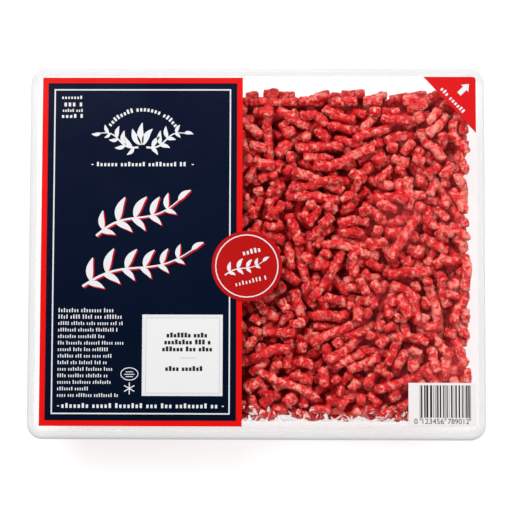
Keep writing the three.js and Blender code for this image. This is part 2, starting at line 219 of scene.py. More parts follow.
TRAY_LEVELS = [
    base_level(13.4, 1.2), base_level(12.6, 1.1), base_level(12.0, 0.3), base_level(11.4, 0),
    base_level(4.4, 0), base_level(2.4, 0.35), base_level(1.1, 1.1), base_level(0.3, 2.4),
    wall_level(WALL_FOOT_Z), wall_level(LEDGE_Z - 0.6), wall_level(LEDGE_Z - 0.15, 0.15),
    (-1.1, MOUTH_RADIUS, LEDGE_Z), (-0.75, MOUTH_RADIUS, LEDGE_Z + 0.3), (-0.2, MOUTH_RADIUS, TRAY_TOP - 0.7),
    (0.1, MOUTH_RADIUS, TRAY_TOP - 0.15), (0.5, MOUTH_RADIUS + 0.4, TRAY_TOP),
]
TRAY_LEVELS += [rim_level(inset, TRAY_TOP - drop) for inset, drop in zip(LIP_INSETS[::-1], LIP_DROPS[::-1])]
CORNER_STEPS = 12
bm = bmesh.new()
bmesh.ops.create_grid(bm, x_segments=1, y_segments=1, size=0.5)
out, corner, z = TRAY_LEVELS[0]
bmesh.ops.transform(bm, verts=bm.verts, matrix=Matrix.Diagonal((2 * (MOUTH_X + out), 2 * (MOUTH_Y + out), 1, 1)))
bmesh.ops.bevel(
    bm, geom=bm.verts[:], offset=corner, segments=CORNER_STEPS, profile=0.5, affect="VERTICES", material=-1
)
turn_of = {}
for vert in bm.verts:
    beyond_x, beyond_y = abs(vert.co.x) - (MOUTH_X + out - corner), abs(vert.co.y) - (MOUTH_Y + out - corner)
    turn_of[vert] = (math.copysign(1, vert.co.x), math.copysign(1, vert.co.y), math.atan2(beyond_y, beyond_x))
    vert.co.z = z
ring = bm.edges[:]
for out, corner, z in TRAY_LEVELS[1:]:
    made = bmesh.ops.extrude_edge_only(bm, edges=ring)["geom"]
    ring = [item for item in made if isinstance(item, bmesh.types.BMEdge)]
    new_turns = {}
    for vert in [item for item in made if isinstance(item, bmesh.types.BMVert)]:
        below = next(edge.other_vert(vert) for edge in vert.link_edges if edge.other_vert(vert) in turn_of)
        side_x, side_y, turn = new_turns[vert] = turn_of[below]
        vert.co.x = side_x * (MOUTH_X + out - corner + corner * math.cos(turn))
        vert.co.y = side_y * (MOUTH_Y + out - corner + corner * math.sin(turn))
        vert.co.z = z
    turn_of = new_turns
    ring = [edge for edge in ring if all(vert in turn_of for vert in edge.verts)]
bmesh.ops.recalc_face_normals(bm, faces=bm.faces)
bmesh.ops.transform(bm, verts=bm.verts, matrix=Matrix.Scale(MM, 4))
bmesh.ops.solidify(bm, geom=bm.faces[:], thickness=SHEET_THICKNESS * MM)
CLEAR = (0.995, 0.995, 0.995, 1)
tray_plastic = clear_plastic("tray_plastic", CLEAR, (0.5, 0.51, 0.52, 1), 12.0, 0.02, 0.14, 0.06)[0]
tray = make_piece("clear_tray", bm, tray_plastic)
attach(tray, "root")
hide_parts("tray")


# Mince: about half a kilogram of raw minced beef in soft strands as thick as the holes of the mincer's plate. They
# fell into the tray in short lengths, bend over one another, and are pressed flat where they touch the plastic.
FLOOR_Z, HEAP_DEPTH, HEAP_CORNER = 1.8, 22.5, 14.0
SHOULDER, SHOULDER_DROP = 13.0, 8.0
FULLER_RIGHT, FULLER_BY_WALL, BACK_RISE, BACK_FALL = 2.4, 1.8, 2.5, 1.8
LABEL_EDGE = -14.0
BOW, KINK = 0.055, 0.02
GRID = 0.6
draw = np.random.RandomState(20)


def inside_by(x, y, half_x, half_y, corner):
    dx, dy = np.abs(x) - (half_x - corner), np.abs(y) - (half_y - corner)
    return corner - np.hypot(np.maximum(dx, 0), np.maximum(dy, 0)) - np.minimum(np.maximum(dx, dy), 0)


def smooth_rise(x, low, high):
    share = np.clip((x - low) / (high - low), 0, 1)
    return share * share * (3 - 2 * share)


def heap_top(x, y):
    edge = inside_by(x, y, MOUTH_X + 1, MOUTH_Y - 4, HEAP_CORNER)
    pushed_right = smooth_rise(x, 78, 100) * (1 - smooth_rise(np.abs(y), 52, 76))
    rounding = (1 - np.clip(edge / SHOULDER, 0, 1)) * (1 - 0.8 * pushed_right)
    swell = 1.2 * np.sin(x / 19 + 0.6) * np.cos(y / 23 - 0.4) + 0.7 * np.sin((x + 2 * y) / 31)
    fuller = FULLER_RIGHT * smooth_rise(x, 40, 100) + FULLER_BY_WALL * smooth_rise(x, 90, 103)
    along_back = BACK_RISE - BACK_RISE * smooth_rise(x, 15, 60) - BACK_FALL * smooth_rise(x, 50, 80)
    evened = smooth_rise(y, 55, 80) * along_back
    return FLOOR_Z + HEAP_DEPTH + swell + fuller + evened - SHOULDER_DROP * rounding**2


def pressed_in(x, y, z, margin):
    """Moves points that lie outside the tray's wall, less a margin, back onto it."""
    foot = 4.4 * np.clip((WALL_FOOT_Z - z) / (WALL_FOOT_Z - FLOOR_Z), 0, 1)
    inset = wall_inset(z) + foot + margin
    corner = np.maximum(wall_radius(z) - foot / 2 - margin, 1.0)
    centre_x, centre_y = MOUTH_X - inset - corner, MOUTH_Y - inset - corner
    dx, dy = np.abs(x) - centre_x, np.abs(y) - centre_y
    reach = np.hypot(np.maximum(dx, 0), np.maximum(dy, 0))
    scale = np.where(reach > corner, corner / np.maximum(reach, 1e-6), 1.0)
    new_x = np.where(dx > 0, centre_x + dx * scale, np.abs(x))
    new_y = np.where(dy > 0, centre_y + dy * scale, np.abs(y))
    return np.copysign(new_x, x), np.copysign(new_y, y)


columns, rows = int(2 * MOUTH_X / GRID) + 2, int(2 * MOUTH_Y / GRID) + 2
cell_x, cell_y = np.meshgrid((np.arange(columns) + 0.5) * GRID - MOUTH_X, (np.arange(rows) + 0.5) * GRID - MOUTH_Y)
ground = np.full((rows, columns), FLOOR_Z)


def cells(x, y):
    return (
        np.clip(((y + MOUTH_Y) / GRID).astype(int), 0, rows - 1),
        np.clip(((x + MOUTH_X) / GRID).astype(int), 0, columns - 1),
    )


def lie_down(x, y, radius):
    """The heights of strands' middle lines where they lie over the ground, stiff enough to bridge narrow gaps."""
    run_x, run_y = np.gradient(x, axis=1), np.gradient(y, axis=1)
    length = np.maximum(np.hypot(run_x, run_y), 1e-6)
    height = ground[cells(x, y)]
    for side in (-0.6, 0.6):
        beside = cells(x - side * radius * run_y / length, y + side * radius * run_x / length)
        height = np.maximum(height, ground[beside])
    padded = np.pad(height, ((0, 0), (1, 1)), mode="edge")
    height = np.maximum(np.maximum(padded[:, :-2], padded[:, 2:]), height)
    for _ in range(3):
        padded = np.pad(height, ((0, 0), (2, 2)), mode="edge")
        height = (padded[:, :-4] + padded[:, 1:-3] + padded[:, 2:-2] + padded[:, 3:-1] + padded[:, 4:]) / 5
    return height + radius * 0.76


def raise_ground(points, radius):
    reach = np.arange(-3.0, 3.01, GRID)
    off_x, off_y = np.meshgrid(reach, reach)
    near = np.hypot(off_x, off_y) < radius
    off_x, off_y = off_x[near], off_y[near]
    bulge = np.sqrt(radius**2 - off_x**2 - off_y**2)
    row, column = cells(points[:, 0, None] + off_x, points[:, 1, None] + off_y)
    np.maximum.at(ground, (row, column), points[:, 2, None] + bulge)


def lay_strand(length, radius, centres, turns, eagerness):
    """Lays one strand where it comes to rest lowest under the heap's top, out of the places drawn for it."""
    count = max(int(round(length)), 4)
    along = np.linspace(-0.5, 0.5, count + 1)
    bow = draw.normal(0, BOW, (len(centres), 1)) * length * (length > 9)
    kink = draw.normal(0, KINK, (len(centres), 1)) * length * (length > 14)
    aside = bow * (1 - 4 * along**2) + kink * np.sin(along * 2 * math.pi)
    x = centres[:, :1] + along * length * np.cos(turns) - aside * np.sin(turns)
    y = centres[:, 1:] + along * length * np.sin(turns) + aside * np.cos(turns)
    z = lie_down(x, y, radius)
    x, y = pressed_in(x, y, z, radius * 0.9)
    z = lie_down(x, y, radius)
    over = (z - heap_top(x, y)).max(axis=1)
    score = (z - heap_top(x, y)).mean(axis=1) + draw.normal(0, eagerness, len(centres))
    score[(z + radius).max(axis=1) > TRAY_TOP - 0.8] = 99
    best = int(np.argmin(score))
    if score[best] > -radius * 0.3 or over[best] > radius * 0.9:
        return None
    points = np.stack((x[best], y[best], z[best]), axis=1)
    raise_ground(points, radius)
    return points, radius


def anywhere(low_x, high_x, tries):
    centres = np.stack((draw.uniform(low_x, high_x, tries), draw.uniform(-MOUTH_Y + 4, MOUTH_Y - 4, tries)), axis=1)
    return centres, draw.uniform(0, math.pi, (tries, 1))


def by_the_wall(tries):
    long_x, long_y = 2 * (MOUTH_X - 6), 2 * (MOUTH_Y - 6)
    along = draw.uniform(0, 2 * (long_x + long_y), tries)
    inward = draw.uniform(1.5, 8, tries)
    centres, turns = np.zeros((tries, 2)), np.zeros((tries, 1))
    for i, (s, d) in enumerate(zip(along, inward)):
        if s < long_x:
            centres[i], turns[i] = (s - long_x / 2, MOUTH_Y - d), 0
        elif s < long_x + long_y:
            centres[i], turns[i] = (MOUTH_X - d, s - long_x - long_y / 2), math.pi / 2
        elif s < 2 * long_x + long_y:
            centres[i], turns[i] = (s - 1.5 * long_x - long_y, d - MOUTH_Y), 0
        else:
            centres[i], turns[i] = (d - MOUTH_X, s - 2 * long_x - 1.5 * long_y), math.pi / 2
    return centres, turns + draw.normal(0, 0.38, (tries, 1))


CORE_DEPTH, CORE_MARGIN, CORE_FOOT_Z, SKIRT_Z = 11.0, 1.6, FLOOR_Z + 0.6, 8.5


def core_top(x, y):
    return heap_top(x, y) - CORE_DEPTH - 1.0 * smooth_rise(x, LABEL_EDGE - 16, LABEL_EDGE)


def core_level(x, y):
    """The top of the heap's dark middle, which falls to a low skirt along the wall."""
    inward = inside_by(x, y, MOUTH_X - 5, MOUTH_Y - 5, BASE_RADIUS)
    return SKIRT_Z + (core_top(x, y) - SKIRT_Z) * smooth_rise(inward, 2.5, 7.5)


def strand_length():
    pick = draw.uniform()
    if pick < 0.12:
        return draw.uniform(19, 33)
    if pick < 0.5:
        return draw.uniform(9.5, 19)
    return draw.uniform(4.5, 9.5)


def fill(kind, most, patience, tries, eagerness, places, lengths):
    missed, laid = 0, []
    while missed < patience and len(laid) < most:
        length = lengths()
        radius = draw.uniform(2.15, 2.65) if length > 9.5 else draw.uniform(2.0, 2.8)
        strand = lay_strand(length, radius, *places(tries), eagerness)
        missed = 0 if strand else missed + 1
        if strand:
            laid.append(strand)
    heap[kind] = laid


heap = {}
fill("base", 330, 20, 24, 0.3, lambda n: anywhere(-MOUTH_X + 8, MOUTH_X - 8, n), lambda: draw.uniform(9, 28))
in_core = inside_by(cell_x, cell_y, MOUTH_X - 5, MOUTH_Y - 5, BASE_RADIUS) > 2.0
ground = np.where(in_core, np.maximum(ground, core_level(cell_x, cell_y)), ground)
fill("side", 450, 60, 30, 0.3, by_the_wall, lambda: draw.uniform(6, 22))
fill("covered", 420, 60, 12, 0.5, lambda n: anywhere(-MOUTH_X + 6, LABEL_EDGE - 8, n), lambda: draw.uniform(12, 30))
fill("top", 1500, 80, 30, 0.6, lambda n: anywhere(LABEL_EDGE - 10, MOUTH_X - 3, n), strand_length)
heap["long"] = [strand for strand in heap["top"] if len(strand[0]) > 15]
heap["short"] = [strand for strand in heap.pop("top") if len(strand[0]) <= 15]


def srgb(*levels):
    return tuple((v / 255 / 12.92 if v < 10.5 else ((v / 255 + 0.055) / 1.055) ** 2.4) for v in levels) + (1.0,)


def attribute(tree, name):
    return add_node(tree, "ShaderNodeAttribute", attribute_name=name).outputs["Fac"]


def raw_mince():
    """Moist red meat, mottled and flecked with fat, paler to the right, darker deep in the heap: meat with no air, and
    painted shade.
    """
    material, tree, shader = new_material("raw_mince")
    coords = own_coords(tree)
    tone = attribute(tree, "strand_tone")
    marble = noise(tree, coords, 300.0, 4.0, roughness=0.6, distortion=0.6)
    east = add_node(tree, "ShaderNodeSeparateXYZ", {0: coords}).outputs["X"]
    pressed = remap(tree, east, 50 * MM, 90 * MM, -0.175, -0.09)
    both = maths(tree, "MULTIPLY_ADD", tone, 0.15, pressed)
    paler = maths(tree, "MULTIPLY_ADD", marble, 1.45, both)
    lean = add_node(tree, "ShaderNodeValToRGB", {"Fac": paler})
    ramp = lean.color_ramp
    ramp.elements[0].position, ramp.elements[0].color = 0.36, srgb(186, 5, 18)
    ramp.elements[1].position, ramp.elements[1].color = 0.86, srgb(250, 144, 130)
    for position, colour in ((0.52, srgb(207, 12, 25)), (0.68, srgb(228, 46, 48))):
        ramp.elements.new(position).color = colour
    streaks = noise(tree, coords, 420.0, 2.5, roughness=0.5, distortion=0.5)
    # Deep in the heap the red darkens and fat flecks thin out: meat with no air, and painted shade in the gaps.
    depth = attribute(tree, "depth")
    most_fat = remap(tree, depth, 0, 1, 0.62, 0.06)
    fat = remap(tree, streaks, 0.55, 0.71, 0, most_fat)
    fresh = blend(tree, fat, lean.outputs["Color"], srgb(255, 200, 180))
    airless_and_shade = maths(tree, "MULTIPLY", depth, 0.4)
    colour = blend(tree, airless_and_shade, fresh, srgb(190, 3, 20))
    fibre = noise(tree, coords, 1500.0, 3.0, roughness=0.6)
    knobs = add_node(tree, "ShaderNodeTexVoronoi", {"Vector": coords, "Scale": 700.0}, feature="SMOOTH_F1")
    relief = maths(tree, "MULTIPLY_ADD", knobs.outputs["Distance"], -1.3, fibre)
    bump = raised(tree, relief, 0.9, 0.8)
    wet = remap(tree, marble, 0.3, 0.7, 0.28, 0.45)
    tree.links.new(colour, shader.inputs["Base Color"])
    tree.links.new(bump, shader.inputs["Normal"])
    tree.links.new(wet, shader.inputs["Roughness"])
    shader.inputs["Subsurface Weight"].default_value = 0.22
    shader.inputs["Subsurface Radius"].default_value = (1.0, 0.25, 0.18)
    shader.inputs["Subsurface Scale"].default_value = 1.6 * MM
    shader.inputs["Specular IOR Level"].default_value = 0.4
    shader.inputs["Specular Tint"].default_value = (1.0, 0.6, 0.58, 1)
    shader.inputs["Coat Weight"].default_value = 0.08
    shader.inputs["Coat Roughness"].default_value = 0.25
    return material


def islands(mesh):
    """For each point, the lowest point that edges join it to, which is the same all over one strand."""
    ends = np.empty(2 * len(mesh.edges), np.int32)
    mesh.edges.foreach_get("vertices", ends)
    first, second = ends.reshape(-1, 2).T
    island = np.arange(len(mesh.vertices))
    changed = True
    while changed:
        lowest = np.minimum(island[first], island[second])
        before = island.copy()
        np.minimum.at(island, first, lowest)
        np.minimum.at(island, second, lowest)
        island = island[island]
        changed = bool((island != before).any())
    return island


def strand_mesh(name, strands, resolution, step, lumps):
    """Tubes round the strands' lines, as one mesh: uneven, lumpy, with blunt ends, and flat against the tray."""
    curve = bpy.data.curves.new(name, "CURVE")
    curve.dimensions = "3D"
    curve.bevel_depth = MM
    curve.bevel_resolution = resolution
    curve.use_fill_caps = True
    curve.twist_mode = "MINIMUM"
    for points, radius in strands:
        length = np.linalg.norm(np.diff(points, axis=0), axis=1).sum()
        count = max(int(length / step), 4)
        ends = np.array([0, 0.5 / length, 1 - 0.5 / length, 1])
        share = np.sort(np.concatenate((np.linspace(0, 1, count + 1)[1:-1], ends)))
        where = np.linspace(0, 1, len(points))
        line = np.stack([np.interp(share, where, points[:, k]) for k in range(3)], axis=1)
        uneven = np.interp(share, np.linspace(0, 1, count // 2 + 3), draw.normal(1.0, 0.075, count // 2 + 3))
        tip = np.interp(np.minimum(share, 1 - share) * length, (0, 0.5, 1.1), (0.66, 0.92, 1.0))
        spline = curve.splines.new("POLY")
        spline.points.add(len(line) - 1)
        spline.points.foreach_set("co", np.c_[line * MM, np.ones(len(line))].ravel())
        spline.points.foreach_set("radius", radius * uneven * tip)
    strand = bpy.data.objects.new(name, curve)
    bpy.context.scene.collection.objects.link(strand)
    tubes = bpy.data.meshes.new_from_object(strand.evaluated_get(bpy.context.evaluated_depsgraph_get()))
    bpy.data.objects.remove(strand)
    bm = bmesh.new()
    bm.from_mesh(tubes)
    bmesh.ops.remove_doubles(bm, verts=bm.verts, dist=1e-7)
    bmesh.ops.recalc_face_normals(bm, faces=bm.faces)
    mesh = bpy.data.meshes.new(name)
    bm.to_mesh(mesh)
    bm.free()
    tone = draw.uniform(size=len(mesh.vertices))[islands(mesh)]
    mesh.attributes.new("strand_tone", "FLOAT", "POINT").data.foreach_set("value", tone.astype(np.float32))
    lumpy = bpy.data.objects.new(name + "_lumpy", mesh)
    bpy.context.scene.collection.objects.link(lumpy)
    for size, strength in lumps:
        pattern = bpy.data.textures.new(name + "_lumps", "CLOUDS")
        pattern.noise_scale = size * MM
        pattern.noise_depth = 1
        displace = lumpy.modifiers.new("lumps", "DISPLACE")
        displace.texture = pattern
        displace.texture_coords = "LOCAL"
        displace.strength = strength * MM
        displace.mid_level = 0.5
    final = bpy.data.meshes.new_from_object(lumpy.evaluated_get(bpy.context.evaluated_depsgraph_get()))
    bpy.data.objects.remove(lumpy)
    corners = np.empty(3 * len(final.vertices), np.float32)
    final.vertices.foreach_get("co", corners)
    x, y, z = corners.reshape(-1, 3).T / MM
    z = np.clip(z, FLOOR_Z + 0.02, TRAY_TOP - 0.35)
    x, y = pressed_in(x, y, z, 0.12)
    depth = smooth_rise(heap_top(x, y) - z, 2.0, 8.0)
    final.attributes.new("depth", "FLOAT", "POINT").data.foreach_set("value", depth.astype(np.float32))
    final.vertices.foreach_set("co", (np.stack((x, y, z), axis=1) * MM).astype(np.float32).ravel())
    final.update()
    return final


mince_red = raw_mince()
KINDS = {
    "base": ("mince_base_strands", 2, 1.7, ((2.2, 0.9),)),
    "side": ("mince_side_strands", 4, 1.0, ((2.2, 1.0), (1.0, 0.5))),
    "covered": ("mince_covered_strands", 1, 2.2, ((2.2, 0.9),)),
    "long": ("mince_long_strands", 5, 0.8, ((2.2, 1.1), (1.0, 0.75))),
    "short": ("mince_short_strands", 5, 0.8, ((2.2, 1.3), (1.0, 0.75))),
}
for kind, (name, resolution, step, lumps) in KINDS.items():
    mesh = strand_mesh(name, heap[kind], resolution, step, lumps)
    strands = make_piece(name, mesh, mince_red)
    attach(strands, "root")
    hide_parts("mince")

# The middle of the heap, which only shows as dark meat at the bottom of the gaps between the strands.
bm = bmesh.new()
bmesh.ops.create_grid(bm, x_segments=84, y_segments=68, size=0.5)
for vert in bm.verts:
    x, y = vert.co.x * 2 * MOUTH_X, vert.co.y * 2 * MOUTH_Y
    x, y = pressed_in(np.array(x), np.array(y), np.array(SKIRT_Z), CORE_MARGIN)
    z = core_level(x, y) - 0.6 + 0.5 * math.sin(x * 1.3) * math.cos(y * 1.1)
    vert.co = (x, y, z)
walls = bmesh.ops.extrude_edge_only(bm, edges=[edge for edge in bm.edges if edge.is_boundary])["geom"]
for vert in [item for item in walls if isinstance(item, bmesh.types.BMVert)]:
    x, y = pressed_in(np.array(vert.co.x), np.array(vert.co.y), np.array(CORE_FOOT_Z), CORE_MARGIN)
    vert.co = (x, y, CORE_FOOT_Z)
bmesh.ops.remove_doubles(bm, verts=bm.verts, dist=0.01)
bmesh.ops.edgeloop_fill(bm, edges=[edge for edge in bm.edges if edge.is_boundary])
bmesh.ops.recalc_face_normals(bm, faces=bm.faces)
bmesh.ops.transform(bm, verts=bm.verts, matrix=Matrix.Scale(MM, 4))
# Depth one all over, so the heap's middle takes the deepest painted shade of the mince.
depth = bm.verts.layers.float.new("depth")
for vert in bm.verts:
    vert[depth] = 1.0
core = make_piece("mince_core", bm, mince_red)
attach(core, "root")
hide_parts("mince")


# Lid film: a clear film welded across the flange and bent down over its rounded edge. It is stiff under the labels.
# Elsewhere it sags a little, has fine wrinkles that run in from the weld, a mist under it towards the right whose
# red is painted light from the meat, and a white torn fold along the lower edge: milky film with painted glints.
FILM_TOP, FILM_THICKNESS, UNDER_LABELS = 32.2, 0.06, 0.08
FILM_SAG, WRINKLE_HEIGHT, WRINKLE_REACH = 0.12, 0.05, 7
FILM_CELL = 2.0
# The mist's red is painted light: the meat's colour thrown back by the misted film.
MEAT_LIGHT_MIST_RED, WELD_GREY, FOLD_GLINT_WHITE = (0.9, 0.08, 0.09, 1), (0.7, 0.7, 0.7, 1), (0.84, 0.82, 0.82, 1)
# The weld along the top edge is a darker grey: painted shade against the key soft box, which lights this edge most.
TOP_WELD_SHADE_GREY = (0.63, 0.63, 0.63, 1)
film_clear, tree, coords, clear = clear_plastic("film_clear", CLEAR, (0.85, 0.86, 0.87, 1), 6.0, 0.007, 0.75, 0.04)
cloud = noise(tree, coords, 30.0, 2.0, distortion=0.4)
patch = remap(tree, cloud, 0.46, 0.68, 0.12, 1.0, ease="SMOOTHSTEP")
mist_and_meat_light = maths(tree, "MULTIPLY", patch, attribute(tree, "mist_and_meat_light"))
north = add_node(tree, "ShaderNodeSeparateXYZ", {0: coords}).outputs["Y"]
ragged = noise(tree, coords, 165.0, 3.0, distortion=2.6)
peak = remap(tree, ragged, 0.53, 0.68, 0, -7.0 * MM)
torn = maths(tree, "MULTIPLY_ADD", ragged, -2.5 * MM, peak)
reach = maths(tree, "ADD", torn, north)
stretched = attribute(tree, "stretched")
into_fold = remap(tree, reach, -84.0 * MM, -86.5 * MM)
# Just inside the fold's ragged top, the ramp puts a bright band as a painted glint, then the paler milky fold.
fold_glint_ramp = add_node(tree, "ShaderNodeValToRGB", {"Fac": into_fold})
fold_glint_ramp.color_ramp.elements[0].color = (0, 0, 0, 1)
fold_glint_ramp.color_ramp.elements[1].color = (0.38, 0.38, 0.38, 1)
fold_glint_ramp.color_ramp.elements.new(0.12).color = (0.9, 0.9, 0.9, 1)
fold_glint_ramp.color_ramp.elements.new(0.32).color = (0.32, 0.32, 0.32, 1)
fold_and_glints = maths(tree, "MULTIPLY", fold_glint_ramp.outputs["Color"], stretched)
welded = attribute(tree, "welded")
weld = maths(tree, "MULTIPLY_ADD", welded, 0.55, mist_and_meat_light)
milky = add_node(tree, "ShaderNodeMath", {0: weld, 1: fold_and_glints}, operation="ADD", use_clamp=True).outputs[0]
on_weld = remap(tree, welded, 0, 0.04)
on_fold_and_glints = remap(tree, fold_and_glints, 0, 0.04)
# Painted shade on the weld along the top edge.
top_weld_shade = remap(tree, north, 83 * MM, 87 * MM)
tint = blend(tree, on_weld, MEAT_LIGHT_MIST_RED, blend(tree, top_weld_shade, WELD_GREY, TOP_WELD_SHADE_GREY))
white = blend(tree, on_fold_and_glints, tint, FOLD_GLINT_WHITE)
milk = add_node(tree, "ShaderNodeBsdfDiffuse", {"Color": white}).outputs[0]
hazy = add_node(tree, "ShaderNodeMixShader", {0: milky, 1: clear, 2: milk}).outputs[0]
tree.links.new(hazy, tree.nodes["Material Output"].inputs["Surface"])
bm = bmesh.new()
bmesh.ops.create_grid(bm, x_segments=1, y_segments=1, size=0.5)
RIM_X, RIM_Y, TRIM = MOUTH_X + FLANGE, MOUTH_Y + FLANGE, 0.2
bmesh.ops.transform(bm, verts=bm.verts, matrix=Matrix.Diagonal((2 * (RIM_X - TRIM), 2 * (RIM_Y - TRIM), 1, 1)))
corner = FLANGE_RADIUS - TRIM
bmesh.ops.bevel(
    bm, geom=bm.verts[:], offset=corner, segments=CORNER_STEPS, profile=0.5, affect="VERTICES", material=-1
)
middle = bm.faces[:]
for width in (0.15, 0.25, 0.4, 0.6, 0.8, 0.8):
    bmesh.ops.inset_region(bm, faces=middle, thickness=width, use_boundary=True, use_even_offset=True)
for axis, reach in ((0, 110), (1, 90)):
    for place in np.arange(-reach, reach + 0.1, FILM_CELL):
        at, across = Vector((0, 0, 0)), Vector((0, 0, 0))
        at[axis], across[axis] = place, 1
        bmesh.ops.bisect_plane(bm, geom=bm.verts[:] + bm.edges[:] + bm.faces[:], plane_co=at, plane_no=across)
layers = {name: bm.verts.layers.float.new(name) for name in ("mist_and_meat_light", "stretched", "welded")}
for vert in bm.verts:
    x, y = vert.co.x, vert.co.y
    from_weld = float(inside_by(x, y, MOUTH_X, MOUTH_Y, MOUTH_RADIUS))
    inner = float(smooth_rise(from_weld, 1, 3))
    # The mist towards the right, which carries the painted red light of the meat.
    vert[layers["mist_and_meat_light"]] = float(0.12 * smooth_rise(x, 35, 92) * smooth_rise(from_weld, 4, 11))
    vert[layers["stretched"]] = inner * float(1 - smooth_rise(y, -76, -70)) * float(smooth_rise(x, -12, -6))
    from_rim = float(inside_by(x, y, RIM_X, RIM_Y, FLANGE_RADIUS))
    on_flange, at_rim = 1 - smooth_rise(from_weld, -1.2, -0.2), 1 - smooth_rise(from_rim, 0.2, 1.6)
    vert[layers["welded"]] = float(on_flange + 0.45 * at_rim)
    free = float(smooth_rise(x, -4, 12) * smooth_rise(from_weld, 0, 8))
    wrinkled = float(smooth_rise(x, -4, 6) * smooth_rise(from_weld, 0, 1.5))
    wrinkle = math.sin(x * 1.9 + 3 * math.sin(y * 0.21)) * math.exp(-max(from_weld, 0) / WRINKLE_REACH) * wrinkled
    sag = FILM_SAG * free * (1 + math.sin(x / 13 + 1.2) * math.sin(y / 17))
    vert.co.z = FILM_TOP - UNDER_LABELS - sag + WRINKLE_HEIGHT * wrinkle
    vert.co.z -= float(np.interp(from_rim, LIP_INSETS, LIP_DROPS))
bmesh.ops.recalc_face_normals(bm, faces=bm.faces)
bmesh.ops.transform(bm, verts=bm.verts, matrix=Matrix.Scale(MM, 4))
bmesh.ops.solidify(bm, geom=bm.faces[:], thickness=FILM_THICKNESS * MM)
film = make_piece("lid_film_sheet", bm, film_clear)
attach(film, "root")
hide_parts("lid_film")


# Label: a smooth printed sheet stuck on the film, with a red border, a navy field and a white line round it. They are
# plates of the frame, and get their inks here.
def printed(name, colour, roughness=0.2, uneven=0.05, specular=0.35, far_colour=None, reach=(0, 1)):
    """Ink on smooth film or paper: faintly cloudy, finely grained, and turning to another colour up the sheet."""
    material, tree, shader = new_material(name)
    coords = own_coords(tree)
    cloud = noise(tree, coords, 45.0, 5.0)
    grain = noise(tree, coords, 2600.0, 2.0)
    north = add_node(tree, "ShaderNodeSeparateXYZ", {0: coords}).outputs["Y"]
    share = remap(tree, north, reach[0] * MM, reach[1] * MM)
    ink = blend(tree, share, colour, far_colour or colour)
    thick = remap(tree, cloud, 0, 1, 1 - uneven, 1 + uneven)
    laid = add_node(tree, "ShaderNodeVectorMath", {0: ink, "Scale": thick}, operation="SCALE").outputs[0]
    relief = raised(tree, grain, 0.25, 0.03)
    rough = remap(tree, cloud, 0, 1, roughness - 0.06, roughness + 0.06)
    tree.links.new(laid, shader.inputs["Base Color"])
    tree.links.new(relief, shader.inputs["Normal"])
    tree.links.new(rough, shader.inputs["Roughness"])
    shader.inputs["Specular IOR Level"].default_value = specular
    return material


def finish_node(node, material):
    for material_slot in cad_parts[node].material_slots:
        material_slot.material = material


red_ink = printed("red_ink", srgb(209, 16, 13))
navy_ink = printed("navy_ink", srgb(1, 11, 29), specular=0.25, far_colour=srgb(7, 15, 38), reach=(-80, 80))
white_ink = printed("white_ink", srgb(208, 208, 211), roughness=0.4, specular=0.2, uneven=0.02)
finish_node("label_sheet", red_ink)
finish_node("label_field", navy_ink)
finish_node("label_line", white_ink)


# Print on the label: white ink on the navy field, as plain marks in rows, in groups of uneven length, with an oval
# mark and a star beside them.
FIELD_TOP = 32.5
INK_THICKNESS, DASH_WIDTH = 0.015, 0.45
marks = np.random.RandomState(7)


def stroke(bm, points, widths, low):
    """A flat ribbon along points, as wide as is given at each."""
    points = np.array(points, float)
    widths = np.broadcast_to(widths, len(points))
    run = np.gradient(points, axis=0)
    run /= np.linalg.norm(run, axis=1, keepdims=True)
    last = len(points) - 1
    for vert in bmesh.ops.create_grid(bm, x_segments=last, y_segments=1, size=0.5)["verts"]:
        i = round((vert.co.x + 0.5) * last)
        aside = vert.co.y * widths[i]
        vert.co = (points[i][0] - run[i][1] * aside, points[i][1] + run[i][0] * aside, low)


def plain_row(bm, left, right, height, pitch, low, place, bold=0.55):
    """Upright marks in short groups from left to right, put down by place(along), which gives a spot and a turn."""
    x, group = left, marks.randint(3, 9)
    while x + pitch * bold <= right + 0.01:
        tall = height * (1.0 if marks.uniform() < 0.35 else 0.72)
        spot, turn = place(x + pitch * bold / 2)
        on_the_line = Matrix.Translation((0, (tall - height) / 2, 0))
        matrix = Matrix.Translation((*spot, low)) @ Matrix.Rotation(turn, 4, "Z") @ on_the_line
        matrix = matrix @ Matrix.Diagonal((pitch * bold, tall, 1, 1))
        bmesh.ops.create_grid(bm, x_segments=1, y_segments=1, size=0.5, matrix=matrix)
        x += pitch
        group -= 1
        if not group:
            x, group = x + pitch * 0.6, marks.randint(3, 9)


def level_at(y):
    return lambda along: ((along, y), 0.0)


def finish_print(name, bm, material):
    bmesh.ops.recalc_face_normals(bm, faces=bm.faces)
    bmesh.ops.transform(bm, verts=bm.verts, matrix=Matrix.Scale(MM, 4))
    bmesh.ops.solidify(bm, geom=bm.faces[:], thickness=INK_THICKNESS * MM)
    piece = make_piece(name, bm, material, smooth=False)
    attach(piece, "root")


low = FIELD_TOP + 0.04
bm = bmesh.new()
CORNER_ROWS = (
    (-96.6, -85.4, 76.9, 1.6, 1.5), (-95.4, -86.6, 73.7, 2.6, 2.1),
    (-96.2, -85.8, 70.4, 1.5, 1.2), (-96.6, -85.2, 67.6, 1.9, 2.0),
)
for left, right, y, height, pitch in CORNER_ROWS:
    plain_row(bm, left, right, height, pitch, low, level_at(y))
ARC_X, ARC_Y, ARC_RADIUS = -56.6, 50.2, 20.8


def on_arc(along):
    turn = -along / ARC_RADIUS
    return (ARC_X - math.sin(turn) * ARC_RADIUS, ARC_Y + math.cos(turn) * ARC_RADIUS), turn


